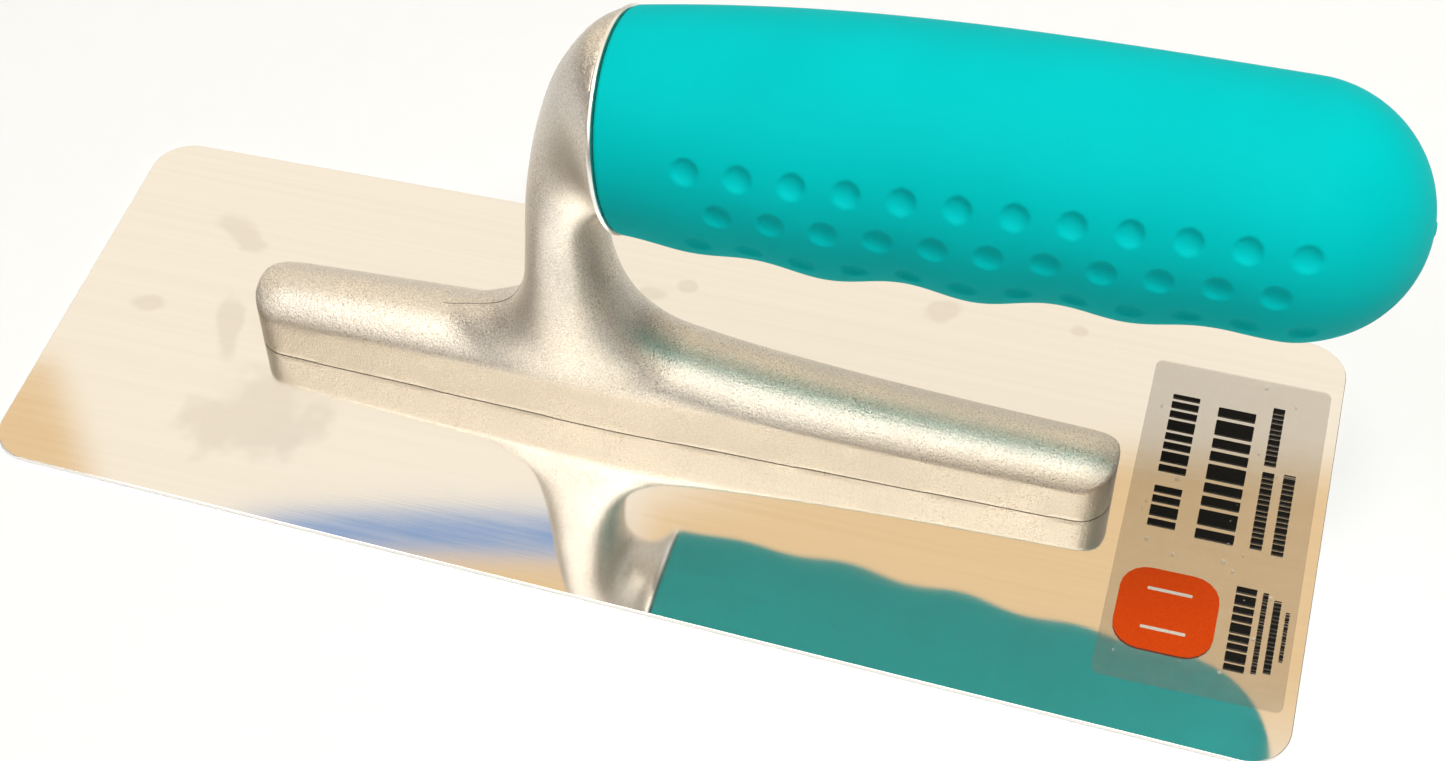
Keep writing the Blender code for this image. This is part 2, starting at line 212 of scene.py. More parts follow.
def new_object(name, vertices, faces, material, sharp=40):
    """Mesh object with smooth sides and flat caps; edges over the sharp angle stay crisp."""
    mesh = bpy.data.meshes.new(name)
    mesh.from_pydata([tuple(v) for v in vertices], [], faces)
    mesh.validate()
    data = bmesh.new()
    data.from_mesh(mesh)
    bmesh.ops.recalc_face_normals(data, faces=data.faces)
    data.to_mesh(mesh)
    data.free()
    mesh.shade_smooth()
    mesh.set_sharp_from_angle(angle=math.radians(sharp))
    for polygon in mesh.polygons:
        if len(polygon.vertices) > 4:
            polygon.use_smooth = False
    if material:
        mesh.materials.append(material)
    item = bpy.data.objects.new(name, mesh)
    bpy.context.scene.collection.objects.link(item)
    return item


def loft_data(rings, start=0, cap_near=True, cap_far=True):
    """Vertices and faces that skin rings of equal length."""
    count = len(rings[0])
    vertices = [point for ring in rings for point in ring]
    faces = []
    for k in range(len(rings) - 1):
        near, far = start + k * count, start + (k + 1) * count
        for i in range(count):
            j = (i + 1) % count
            faces.append((near + i, near + j, far + j, far + i))
    if cap_near:
        faces.append(tuple(range(start + count - 1, start - 1, -1)))
    if cap_far:
        last = start + (len(rings) - 1) * count
        faces.append(tuple(range(last, last + count)))
    return vertices, faces


def loft(name, rings, material, sharp=40):
    vertices, faces = loft_data(rings)
    return new_object(name, vertices, faces, material, sharp)


def lofts(name, ring_sets, material, sharp=40):
    """Several closed lofts as one object."""
    vertices, faces = [], []
    for rings in ring_sets:
        more, more_faces = loft_data(rings, start=len(vertices))
        vertices += more
        faces += more_faces
    return new_object(name, vertices, faces, material, sharp)


def level_circle(x, y, z, radius, sides):
    turns = [2 * math.pi * i / sides for i in range(sides)]
    return [(x + radius * math.cos(t), y + radius * math.sin(t), z) for t in turns]


def finish_piece(item, slot, *nodes):
    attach(item, "root")
    if nodes:
        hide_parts(*nodes)


def rounded_outline(corners, radius, steps):
    """Outline of a convex polygon whose corners are rounded by arcs."""
    points = []
    count = len(corners)
    for i in range(count):
        corner = Vector(corners[i])
        before = (Vector(corners[i - 1]) - corner).normalized()
        after = (Vector(corners[(i + 1) % count]) - corner).normalized()
        half = before.angle(after) / 2
        centre = corner + (before + after).normalized() * radius / math.sin(half)
        start = corner + before * radius / math.tan(half) - centre
        sweep = math.pi - 2 * half
        for k in range(steps + 1):
            turn = sweep * k / steps
            cosine, sine = math.cos(turn), math.sin(turn)
            spoke = Vector((start.x * cosine - start.y * sine, start.x * sine + start.y * cosine))
            points.append(centre + spoke)
    return points


def rectangle(low_x, low_y, high_x, high_y):
    return ((low_x, low_y), (high_x, low_y), (high_x, high_y), (low_x, high_y))


def plate_rings(corners, radius, steps, levels):
    """Rings of a plate with shaped edges; each level is (height, inset)."""
    rings = []
    centre = sum((Vector(c) for c in corners), Vector((0, 0))) / len(corners)
    for height, inset in levels:
        inner = []
        for c in corners:
            offset = Vector(c) - centre
            inner.append(Vector(c) - Vector((math.copysign(inset, offset.x),
                                             math.copysign(inset, offset.y))))
        outline = rounded_outline(inner, max(radius - inset, 0.05 * MM), steps)
        rings.append([(p.x, p.y, height) for p in outline])
    return rings


# ---------------------------------------------------------------- the casting

def foot_crease(x):
    """Height of the foot bar's upright sides above the blade."""
    if x < FOOT_WAIST:
        reach = (FOOT_WAIST - x) / (FOOT_WAIST - FOOT_LEFT)
        return FOOT_CREASE_LEFT + FOOT_CREASE_LEFT_RISE * (1 - reach)
    return FOOT_CREASE_RIGHT + FOOT_CREASE_RIGHT_RISE * math.exp(-max(x, 0.0) / FOOT_CREASE_RUN)


def foot_section(x, crown_steps=40, wall_steps=10):
    """Section of the foot bar: flat bottom, upright sides and an arched crown."""
    full = FOOT_HALF_WIDTH - FOOT_TAPER * abs(x - FOOT_WAIST)
    from_end = min(x - FOOT_LEFT, FOOT_RIGHT - x)
    into_nose = max(0.0, 1 - from_end / FOOT_NOSE_LENGTH)
    narrowing = (1 - into_nose ** FOOT_NOSE_FULLNESS) ** (1 / FOOT_NOSE_FULLNESS)
    half = max(full * narrowing, 0.3 * MM)
    crease = foot_crease(x) - FOOT_NOSE_DROP * into_nose ** 2
    bottom = BLADE_TOP + FOOT_LIFT
    arch = full / math.sin(FOOT_CROWN_ARC)
    shoulder = math.sqrt(max(arch ** 2 - half ** 2, 0.0)) - arch * math.cos(FOOT_CROWN_ARC)
    top = BLADE_TOP + crease + shoulder
    points = []
    for k in range(wall_steps):
        points.append((x, MOUNT_SHIFT - half, bottom + (top - bottom) * k / wall_steps))
    for k in range(crown_steps + 1):
        y = half * (2 * k / crown_steps - 1)
        rise = math.sqrt(arch ** 2 - y ** 2) - arch * math.cos(FOOT_CROWN_ARC)
        points.append((x, MOUNT_SHIFT + y, BLADE_TOP + crease + rise))
    for k in range(wall_steps - 1, -1, -1):
        points.append((x, MOUNT_SHIFT + half, bottom + (top - bottom) * k / wall_steps))
    return points


def foot_stations():
    nose = [FOOT_NOSE_LENGTH * (1 - math.cos(k * math.pi / 40)) for k in range(20)]
    start, end = FOOT_LEFT + FOOT_NOSE_LENGTH, FOOT_RIGHT - FOOT_NOSE_LENGTH
    middle = [start + (end - start) * k / 120 for k in range(121)]
    return [FOOT_LEFT + d for d in nose] + middle + [FOOT_RIGHT - d for d in reversed(nose)]


def smooth_rows(rows, steps):
    """Catmull-Rom rows between the given ones."""
    rows = np.array(rows, float)
    padded = np.vstack((2 * rows[0] - rows[1], rows, 2 * rows[-1] - rows[-2]))
    result = []
    for i in range(1, len(padded) - 2):
        a, b, c, d = padded[i - 1:i + 3]
        for k in range(steps):
            t = k / steps
            result.append(0.5 * (2 * b + (c - a) * t + (2 * a - 5 * b + 4 * c - d) * t ** 2
                                 + (3 * b - a - 3 * c + d) * t ** 3))
    result.append(padded[-2])
    return result


def neck_ring(section):
    """Ring of one neck section, a superellipse across the middle plane."""
    outer_x, outer_z, inner_x, inner_z, half_width, square = section
    outer = np.array((outer_x * MM, MOUNT_SHIFT, outer_z * MM))
    inner = np.array((inner_x * MM, MOUNT_SHIFT, inner_z * MM))
    centre = (outer + inner) / 2
    points = []
    for i in range(NECK_SIDES):
        turn = 2 * math.pi * i / NECK_SIDES
        cosine, sine = math.cos(turn), math.sin(turn)
        along = math.copysign(abs(cosine) ** (2 / square), cosine)
        across = math.copysign(abs(sine) ** (2 / square), sine)
        points.append(centre + (outer - centre) * along
                      + np.array((0, half_width * MM * across, 0)))
    return points


def axis_frame(tilt):
    """Directions along and above an axis that climbs to the right."""
    forward = np.array((math.cos(tilt), 0, math.sin(tilt)))
    upward = np.array((-math.sin(tilt), 0, math.cos(tilt)))
    return forward, upward


def axis_ring(distance, radius, sides=NECK_SIDES, tilt=HANDLE_RISE):
    """Circle round the handle's axis, this far from the collar's centre."""
    forward, upward = axis_frame(tilt)
    centre = COLLAR_CENTRE + forward * distance
    turns = [2 * math.pi * i / sides for i in range(sides)]
    return [centre + upward * radius * math.cos(t) + np.array((0, radius * math.sin(t), 0))
            for t in turns]


def collar_ring(offset, radius, sides=NECK_SIDES):
    """Circle parallel to the collar's face."""
    return axis_ring(offset, radius, sides, HANDLE_RISE + COLLAR_TILT)


def evaluated_mesh(item):
    graph = bpy.context.evaluated_depsgraph_get()
    return bpy.data.meshes.new_from_object(item.evaluated_get(graph), depsgraph=graph)


def cut_away(target, tool):
    """Take the tool's volume out of the target and remove the tool."""
    modifier = target.modifiers.new("cut", "BOOLEAN")
    modifier.operation = "DIFFERENCE"
    modifier.solver = "EXACT"
    modifier.object = tool
    mesh = evaluated_mesh(target)
    target.modifiers.clear()
    old = target.data
    target.data = mesh
    bpy.data.meshes.remove(old)
    bpy.data.objects.remove(tool, do_unlink=True)


def stud_bores():
    bores = [[level_circle(x, MOUNT_SHIFT, z, STUD_BORE_RADIUS, STUD_BORE_SIDES)
              for z in (BLADE_TOP - 1 * MM, STUD_BORE_TOP)] for x in STUD_POSITIONS]
    return lofts("bores", bores, None)


def vertex_array(mesh):
    points = np.empty(len(mesh.vertices) * 3, np.float64)
    mesh.vertices.foreach_get("co", points)
    return points.reshape(-1, 3)


def edge_array(mesh):
    edges = np.empty(len(mesh.edges) * 2, np.int64)
    mesh.edges.foreach_get("vertices", edges)
    return edges.reshape(-1, 2)


def relax(points, edges, weight, rounds):
    """Move every point towards the mean of its neighbours, by its own weight."""
    a, b = edges[:, 0], edges[:, 1]
    count = len(points)
    degree = np.maximum(np.bincount(a, minlength=count) + np.bincount(b, minlength=count), 1)
    for _ in range(rounds):
        total = np.empty_like(points)
        for axis in range(3):
            total[:, axis] = (np.bincount(a, points[b, axis], count)
                              + np.bincount(b, points[a, axis], count))
        points = points + weight[:, None] * 0.5 * (total / degree[:, None] - points)
    return points


def ramp(value, low, high):
    """Smooth rise from 0 to 1 between two values."""
    share = np.clip((value - low) / (high - low), 0, 1)
    return share * share * (3 - 2 * share)


def fused_casting():
    """Foot bar with its bores, neck and head, fused into one closed mesh."""
    foot = loft("foot_shape", [foot_section(x) for x in foot_stations()], None)
    cut_away(foot, stud_bores())
    rings = [neck_ring(section) for section in smooth_rows(NECK_SECTIONS, NECK_STEPS)]
    rings.append(collar_ring(-0.7 * MM, COLLAR_RADIUS - 0.05 * MM))
    neck = loft("neck_shape", rings, None)
    data = bmesh.new()
    data.from_mesh(foot.data)
    data.from_mesh(neck.data)
    joined = bpy.data.meshes.new("joined")
    data.to_mesh(joined)
    data.free()
    for item in (foot, neck):
        bpy.data.objects.remove(item, do_unlink=True)
    shape = bpy.data.objects.new("mount", joined)
    bpy.context.scene.collection.objects.link(shape)
    remesh = shape.modifiers.new("remesh", "REMESH")
    remesh.mode = "VOXEL"
    remesh.voxel_size = CASTING_VOXEL
    mesh = evaluated_mesh(shape)
    shape.modifiers.clear()
    shape.data = mesh
    return shape


def make_casting(material):
    """The cast body, smoothed except at the collar's rim and close to the blade."""
    shape = fused_casting()
    mesh = shape.data
    points, edges = vertex_array(mesh), edge_array(mesh)
    x, _, z = points.T
    forward, _ = axis_frame(HANDLE_RISE + COLLAR_TILT)
    behind_rim = ramp((COLLAR_CENTRE - points) @ forward, 1.2 * MM, 2.6 * MM)
    skin = ramp(z, 1.6 * MM, 2.6 * MM) * behind_rim
    points = relax(points, edges, skin, SKIN_ROUNDS)
    near_neck = ramp(-abs(x + 12 * MM), -34 * MM, -20 * MM)
    blend = near_neck * ramp(z, 9 * MM, 12 * MM) * (1 - ramp(z, 24 * MM, 34 * MM))
    points = relax(points, edges, blend, BLEND_ROUNDS)
    underside = BLADE_TOP + FOOT_LIFT
    flat = points[:, 2] < underside + 0.3 * MM
    points[flat, 2] = underside
    mesh.vertices.foreach_set("co", points.ravel())
    mesh.shade_smooth()
    mesh.set_sharp_from_angle(angle=math.radians(50))
    mesh.materials.clear()
    mesh.materials.append(material)
    mesh.update()
    finish_piece(shape, "cast_aluminium", "mount_casting")
    return shape


def make_collar(material):
    """Machined rim between the head and the grip, with small chamfers."""
    rings = [collar_ring(offset * MM, radius * MM, COLLAR_SIDES)
             for offset, radius in COLLAR_PROFILE]
    vertices, faces = loft_data(rings, cap_near=False, cap_far=False)
    last = (len(COLLAR_PROFILE) - 1) * COLLAR_SIDES
    for i in range(COLLAR_SIDES):
        j = (i + 1) % COLLAR_SIDES
        faces.append((last + i, last + j, j, i))
    collar = new_object("collar_rim", vertices, faces, material, 30)
    finish_piece(collar, "cast_aluminium", "mount_casting")


def make_tang(material):
    """Grooved tang that keys the casting in the handle's core."""
    rings = [collar_ring(-0.8 * MM, 7.3 * MM), collar_ring(-GAP, TANG_RADIUS + 0.8 * MM)]
    ridge = (TANG_LENGTH - 8 * MM) / TANG_RIDGES
    for k in range(TANG_RIDGES):
        share = k / (TANG_RIDGES - 1)
        radius = TANG_RADIUS + (TANG_TIP_RADIUS - TANG_RADIUS) * share
        start = 4 * MM + ridge * k
        for place, drop in TANG_RIDGE_PROFILE:
            rings.append(axis_ring(start + place * ridge, radius - drop * TANG_GROOVE))
    rings.append(axis_ring(TANG_LENGTH - 2 * MM, TANG_TIP_RADIUS - 0.3 * MM))
    rings.append(axis_ring(TANG_LENGTH - 0.6 * MM, TANG_TIP_RADIUS - 0.9 * MM))
    rings.append(axis_ring(TANG_LENGTH, TANG_TIP_RADIUS - 1.6 * MM))
    tang = loft("tang", rings, material)
    finish_piece(tang, "cast_aluminium", "mount_casting")


def surface_path(tree, spine, start, end, steps):
    """Places and normals where rays aimed at a spine meet the casting in its middle plane."""
    path = []
    for k in range(steps + 1):
        t = start + (end - start) * k / steps
        (x, z), direction = spine(t)
        aim = Vector((x, MOUNT_SHIFT, z))
        origin = aim + direction * 60 * MM
        hit, normal, _, _ = tree.ray_cast(origin, -direction)
        if hit:
            path.append((hit, normal))
    return path


def ridge_strip(name, path, radius, material):
    """Fine raised bead that follows a path on a surface."""
    sides = 6
    rings = []
    for k, (point, normal) in enumerate(path):
        ahead = path[min(k + 1, len(path) - 1)][0] - path[max(k - 1, 0)][0]
        side = ahead.cross(normal).normalized()
        fade = min(1.0, k / 6, (len(path) - 1 - k) / 6)
        size = radius * max(fade, 0.05)
        ring = []
        for i in range(sides):
            turn = 2 * math.pi * i / sides
            ring.append(point - normal * radius * 0.45 + side * size * 1.3 * math.cos(turn)
                        + normal * size * math.sin(turn))
        rings.append(ring)
    bead = loft(name, rings, material, 180)
    finish_piece(bead, "cast_aluminium", "mount_casting")


def make_parting_line(casting, dark, plain):
    """Parting line of the mould, over both arms, the neck and the head.

    Each spine gives a point inside the casting and the direction its surface is looked for.
    """
    tree = BVHTree.FromObject(casting, bpy.context.evaluated_depsgraph_get())

    def outer_spine(t):
        if t < 1:
            x = (-38 + 14 * t) * MM
            return (x, 6 * MM), Vector((0, 0, 1))
        if t < 2:
            turn = math.pi / 2 * (t - 1)
            return (-15 * MM - 9 * MM * (2 - t), 8 * MM + 14 * MM * (t - 1)), \
                Vector((-math.sin(turn), 0, math.cos(turn)))
        turn = math.pi / 2 - math.radians(84) * max(0.0, t - 2.4) / 0.6
        return (-14 * MM + 5 * MM * (t - 2), 22 * MM + 36 * MM * (t - 2)), \
            Vector((-math.sin(turn), 0, math.cos(turn)))

    def inner_spine(t):
        if t < 1:
            turn = math.radians(70) * (1 - t)
            return (-14 * MM + 24 * MM * t, 24 * MM - 18 * MM * t), \
                Vector((math.sin(turn), 0, math.cos(turn)))
        return ((10 + 54 * (t - 1)) * MM, 6 * MM), Vector((0, 0, 1))

    # The outer bead is coloured dark with painted shade.
    ridge_strip("parting_line_1", surface_path(tree, outer_spine, 0.0, 3.0, 160), 0.10 * MM, dark)
    ridge_strip("parting_line_2", surface_path(tree, inner_spine, 0.1, 2.0, 130), 0.07 * MM, plain)


# ---------------------------------------------------------------- the grip

def handle_radius(distance):
    """Radius of the handle along its axis, before grooves and dimples."""
    u = distance / HANDLE_LENGTH
    radius = HANDLE_FRONT_RADIUS
    for power, swell in enumerate(HANDLE_SWELL, start=1):
        radius = radius + swell * u ** power
    into_dome = np.maximum(0.0, (distance - HANDLE_LENGTH + HANDLE_DOME) / HANDLE_DOME)
    return radius * np.sqrt(np.maximum(0.0, 1 - into_dome ** 2))


def groove_wave(distance, turn):
    """Finger grooves: waves along the underside of the grip."""
    below = np.maximum(0.0, 0.2 - np.cos(turn)) / 1.2
    inside = np.clip(distance / GROOVE_END, 0, 1)
    envelope = np.sin(np.pi * inside) ** 0.7
    phase = 2 * np.pi * (distance - GROOVE_FIRST_CREST) / GROOVE_PITCH
    return np.where(distance < GROOVE_END, GROOVE_DEPTH * envelope * below * np.cos(phase), 0.0)


def dimple_field(distance, turn):
    """Depth of the dimples at places on the grip."""
    depth = np.zeros_like(distance)
    reach = handle_radius(distance)
    for degrees, first, pitch, count in DIMPLE_ROWS:
        for side in (degrees, 360 - degrees):
            across = reach * (np.mod(turn - math.radians(side) + np.pi, 2 * np.pi) - np.pi)
            for k in range(count):
                away = np.hypot(distance - first - pitch * k, across) / DIMPLE_RADIUS
                bowl = np.clip(1 - away ** 2, 0, 1) ** 0.62
                lip = 0.10 * np.exp(-((away - 1.12) / 0.14) ** 2)
                depth = np.maximum(depth, DIMPLE_DEPTH * bowl) - DIMPLE_DEPTH * lip * (bowl == 0)
    return depth


def handle_grid(distances, sides, inset, detailed):
    """Rings of the handle's skin, moved inwards by the inset."""
    turn = np.arange(sides) * 2 * np.pi / sides
    distance, turn = np.meshgrid(distances, turn, indexing="ij")
    u = distance / HANDLE_LENGTH
    bow = HANDLE_BOW * 4 * u * (1 - u)
    lean = np.maximum(0.0, 1 - distance / HANDLE_TILT_FADE) * math.tan(COLLAR_TILT)
    radius = np.maximum(handle_radius(distance) - inset, 0.0)
    radius = np.where(radius > 0, radius + groove_wave(distance, turn), radius)
    if detailed:
        radius = radius - dimple_field(distance, turn)
        into_lip = np.clip(1 - distance / HANDLE_LIP, 0, 1)
        radius = radius - HANDLE_LIP * 0.7 * (1 - np.sqrt(1 - into_lip ** 2))
    side, height = radius * np.sin(turn), radius * np.cos(turn)
    along, lift = distance - height * lean, height + bow
    cosine, sine = math.cos(HANDLE_RISE), math.sin(HANDLE_RISE)
    x = COLLAR_CENTRE[0] + along * cosine - lift * sine
    z = COLLAR_CENTRE[2] + along * sine + lift * cosine
    return np.stack((x, COLLAR_CENTRE[1] + side, z), axis=-1)


def grip_stations():
    """Distances of the grip's rings, close together on its lip and dome."""
    lip = HANDLE_LIP * (1 - np.cos(np.linspace(0, np.pi / 2, 7)))
    straight = np.arange(HANDLE_LIP + 0.3 * MM, HANDLE_LENGTH - HANDLE_DOME, 0.3 * MM)
    dome = HANDLE_LENGTH - HANDLE_DOME + HANDLE_DOME * np.sin(np.linspace(0, np.pi / 2, 70))
    dome[-1] = HANDLE_LAST_RING
    return np.concatenate((lip, straight, dome))


def make_grip(material):
    """Rubber grip: a cup with dimples and finger grooves outside and a plain bore inside."""
    outer = handle_grid(grip_stations(), GRIP_SIDES, 0.0, True)
    depth = HANDLE_LENGTH - GRIP_WALL
    dome = HANDLE_DOME * 0.8
    straight = np.linspace(0, depth - dome, 12, endpoint=False)
    curved = depth - dome + dome * np.sin(np.linspace(0, np.pi / 2, 8))
    curved[-1] = depth - dome * 0.002
    inner = handle_grid(np.concatenate((straight, curved)), GRIP_SIDES, GRIP_WALL, False)
    outer_points, outer_faces = loft_data(list(outer), cap_near=False)
    inner_points, inner_faces = loft_data(list(inner), start=len(outer_points), cap_near=False)
    faces = outer_faces + inner_faces
    base = len(outer_points)
    for i in range(GRIP_SIDES):
        j = (i + 1) % GRIP_SIDES
        faces.append((i, j, base + j, base + i))
    grip = new_object("grip", outer_points + inner_points, faces, material, 60)
    finish_piece(grip, "grip_rubber", "handle_grip")


def make_gate_mark(material):
    """Small trimmed gate left by moulding on the grip's rear end."""
    tip = handle_grid(np.array([HANDLE_LAST_RING]), 4, 0.0, False)[0].mean(axis=0)
    forward, upward = axis_frame(HANDLE_RISE)
    rings = []
    for offset, radius in GATE_PROFILE:
        centre = tip + forward * offset * MM
        ring = []
        for i in range(GATE_SIDES):
            turn = 2 * math.pi * i / GATE_SIDES
            ragged = 1 + 0.12 * math.sin(3 * turn + 0.6) + 0.07 * math.sin(7 * turn)
            ring.append(centre + upward * radius * MM * ragged * math.cos(turn) * 1.5
                        + np.array((0, radius * MM * ragged * math.sin(turn) * 0.6, 0)))
        rings.append(ring)
    mark = loft("gate_mark", rings, material)
    finish_piece(mark, "grip_rubber", "handle_grip")


# ---------------------------------------------------------------- blade and label

def make_blade(material):
    half = BLADE_LENGTH / 2
    left, right = BLADE_LEFT_WIDTH / 2, BLADE_RIGHT_WIDTH / 2
    corners = ((-half, -left), (half, -right), (half, right), (-half, left))
    levels = BLADE_EDGE + tuple((BLADE_TOP - rise, inset) for rise, inset in reversed(BLADE_EDGE))
    blade = loft("blade_plate", plate_rings(corners, BLADE_CORNER, 24, levels), material, 35)
    finish_piece(blade, "blade_steel", "blade")


def make_label_film(material):
    corners = rectangle(LABEL_LOW.x, LABEL_LOW.y, LABEL_HIGH.x, LABEL_HIGH.y)
    low, high = LABEL_LOW.z, LABEL_HIGH.z - 0.04 * MM
    levels = ((low, 0.0), (high - 0.03 * MM, 0.0), (high, 0.03 * MM))
    film = loft("label_sheet", plate_rings(corners, LABEL_CORNER, 8, levels), material, 35)
    finish_piece(film, "label_film", "label")


def make_label_bubbles(material):
    """Small air bubbles trapped under the film."""
    draw = random.Random(BUBBLE_SEED)
    low_x, high_x = LABEL_LOW.x + 1 * MM, LABEL_HIGH.x - 1 * MM
    low_y, high_y = LABEL_LOW.y + 1 * MM, LABEL_HIGH.y - 1 * MM
    foot = LABEL_HIGH.z - 0.045 * MM
    domes = []
    for _ in range(BUBBLE_COUNT):
        x, y = draw.uniform(low_x, high_x), draw.uniform(low_y, high_y)
        radius = draw.uniform(0.12, 0.38) * MM
        domes.append([level_circle(x, y, foot + BUBBLE_RISE * (1 - share ** 2), radius * share,
                                   BUBBLE_SIDES) for share in (1.0, 0.8, 0.5, 0.15)])
    bubbles = lofts("label_bubbles", domes, material, 60)
    finish_piece(bubbles, "label_film", "label")


def block(x, y, width, height, corner, lift=0.0):
    """Printed block with rounded corners, given by its lowest corner."""
    bottom = LABEL_HIGH.z - 0.035 * MM + lift
    levels = ((bottom, 0.0), (bottom + 0.025 * MM, 0.0), (bottom + 0.03 * MM, 0.01 * MM))
    return plate_rings(rectangle(x, y, x + width, y + height), corner, 5, levels)


def print_piece(name, blocks, material):
    finish_piece(lofts(name, blocks, material), "label_film", "label")


def hatched_line(left, right, start, length, stroke, gap):
    """One printed line that runs along +Y: plain strokes across it, every third one wider."""
    blocks = []
    y, number = start, 0
    while y < start + length:
        run = min(stroke * (1.7 if number % 3 == 1 else 1.0), start + length - y)
        if run > 0.4 * stroke:
            blocks.append(block(left * MM, y * MM, (right - left) * MM, run * MM,
                                0.12 * stroke * MM))
        y += run + gap
        number += 1
    return blocks


def make_label_print(dark, orange, pale):
    """Plain strokes and one plain badge stand where a real label has its print."""
    strokes = [stroke for line in PRINT_LINES for stroke in hatched_line(*line)]
    print_piece("label_strokes", strokes, dark)
    badge = [block(BADGE_X, BADGE_Y, BADGE_SIZE, BADGE_SIZE, BADGE_CORNER)]
    print_piece("label_badge", badge, orange)
    stripes = [block(STRIPE_X, y, STRIPE_LENGTH, STRIPE_WIDTH, 0.2 * MM, STRIPE_LIFT)
               for y in STRIPES_Y]
    print_piece("label_badge_lines", stripes, pale)


# ---------------------------------------------------------------- materials

class NodeTree:
    """Short way to add nodes to self.tree; an input is another node's socket or a value."""

    def add(self, kind, inputs=None, **settings):
        node = self.tree.nodes.new(kind)
        for key, value in settings.items():
            setattr(node, key, value)
        for key, value in (inputs or {}).items():
            if isinstance(value, bpy.types.NodeSocket):
                self.tree.links.new(value, node.inputs[key])
            else:
                node.inputs[key].default_value = value
        return node

    def remap(self, value, low, high, to_low, to_high, smooth=False):
        node = self.add("ShaderNodeMapRange", {
            "Value": value, "From Min": low, "From Max": high, "To Min": to_low, "To Max": to_high})
        if smooth:
            node.interpolation_type = "SMOOTHSTEP"
        return node.outputs["Result"]

    def math(self, operation, first, second=0.0):
        node = self.add("ShaderNodeMath", {0: first, 1: second}, operation=operation)
        return node.outputs[0]

    def mix(self, share, first, second):
        node = self.add("ShaderNodeMix", data_type="RGBA")
        sockets = {"Factor": share, "A": first, "B": second}
        for key, value in sockets.items():
            socket = [s for s in node.inputs if s.name == key and s.enabled][0]
            if isinstance(value, bpy.types.NodeSocket):
                self.tree.links.new(value, socket)
            else:
                socket.default_value = value
        return [s for s in node.outputs if s.enabled][0]


class Surface(NodeTree):
    """Node tree of one material, in object coordinates."""

    def __init__(self, name):
        self.material = bpy.data.materials.new(name)
        self.material.use_nodes = True
        self.tree = self.material.node_tree
        self.shader = self.tree.nodes["Principled BSDF"]
        self.place = self.add("ShaderNodeTexCoord").outputs["Object"]

    def stretched(self, x, y, z):
        return self.add("ShaderNodeMapping", {"Vector": self.place, "Scale": (x, y, z)}).outputs[0]

    def noise(self, scale, detail=2.0, rough=0.5, vector=None):
        node = self.add("ShaderNodeTexNoise", {
            "Vector": vector or self.place, "Scale": scale, "Detail": detail, "Roughness": rough})
        return node.outputs["Fac"]

    def bump(self, height, strength, distance, normal=None):
        inputs = {"Height": height, "Strength": strength, "Distance": distance}
        if normal:
            inputs["Normal"] = normal
        return self.add("ShaderNodeBump", inputs).outputs["Normal"]

    def away(self, place, reach, turn=0.0):
        """Distance from a place, counted in its reach along each axis: 1 is the spot's edge."""
        node = self.add("ShaderNodeMapping", {
            "Vector": self.place, "Location": place, "Rotation": (0, 0, math.radians(turn)),
            "Scale": reach}, vector_type="TEXTURE")
        size = self.add("ShaderNodeVectorMath", {0: node.outputs[0]}, operation="LENGTH")
        return size.outputs["Value"]

    def connect(self, **sockets):
        for key, value in sockets.items():
            socket = self.shader.inputs[key.replace("_", " ")]
            if isinstance(value, bpy.types.NodeSocket):
                self.tree.links.new(value, socket)
            else:
                socket.default_value = value
        return self.material


def cast_aluminium():
    n = Surface("tumbled_cast_aluminium")
    grain = n.noise(3600, 3, 0.62)
    speck = n.add("ShaderNodeTexVoronoi", {"Vector": n.place, "Scale": 2300.0}).outputs["Distance"]
    cloud = n.noise(90, 3, 0.55)
    colour = n.mix(n.remap(grain, 0.3, 0.7, 0, 1), (0.46, 0.415, 0.35, 1), (0.97, 0.905, 0.81, 1))
    colour = n.mix(n.remap(cloud, 0.4, 0.7, 0.0, 0.3), colour, (0.60, 0.585, 0.56, 1))
    height = n.add("ShaderNodeSeparateXYZ", {0: n.place}).outputs["Z"]
    # Darker towards the bottom of the foot bar, next to the blade.
    low = n.remap(height, *FOOT_TONE_HEIGHTS, 0.6, 0.0, smooth=True)
    colour = n.mix(low, colour, (0.47, 0.39, 0.285, 1))
    # Painted shade: a darker patch in the head's hollow beside the collar.
    painted_hollow_shade = n.remap(n.away(HOLLOW_SHADE_PLACE, HOLLOW_SHADE_REACH), 0.2, 1.25, 0.6, 0.0, smooth=True)
    colour = n.mix(painted_hollow_shade, colour, (0.34, 0.305, 0.255, 1))
    rough = n.math("ADD", n.remap(grain, 0.3, 0.7, 0.26, 0.40),
                   n.remap(cloud, 0.3, 0.7, -0.03, 0.05))
    normal = n.bump(grain, 0.8, 0.00012)
    normal = n.bump(speck, 0.35, 0.00007, normal)
    return n.connect(Base_Color=colour, Metallic=0.87, Roughness=rough, Normal=normal)


def parting_line_shade_metal():
    n = Surface("parting_line_painted_shade")
    # The bead's dark colour is painted shade: it stands for the shadow side of the fine ridge.
    grain = n.noise(3600, 3, 0.62)
    colour = n.mix(n.remap(grain, 0.3, 0.7, 0, 1), (0.26, 0.22, 0.19, 1), (0.48, 0.43, 0.39, 1))
    return n.connect(Base_Color=colour, Metallic=1.0, Roughness=n.remap(grain, 0.3, 0.7, 0.45, 0.6),
                     Normal=n.bump(grain, 0.4, 0.00008))


def machined_aluminium():
    n = Surface("machined_aluminium")
    lines = n.noise(1.0, 2, 0.6, n.stretched(9000, 400, 400))
    colour = n.mix(lines, (0.86, 0.84, 0.80, 1), (0.96, 0.95, 0.92, 1))
    rough = n.remap(lines, 0.3, 0.7, 0.26, 0.38)
    return n.connect(Base_Color=colour, Metallic=1.0, Roughness=rough,
                     Normal=n.bump(lines, 0.2, 0.00002))


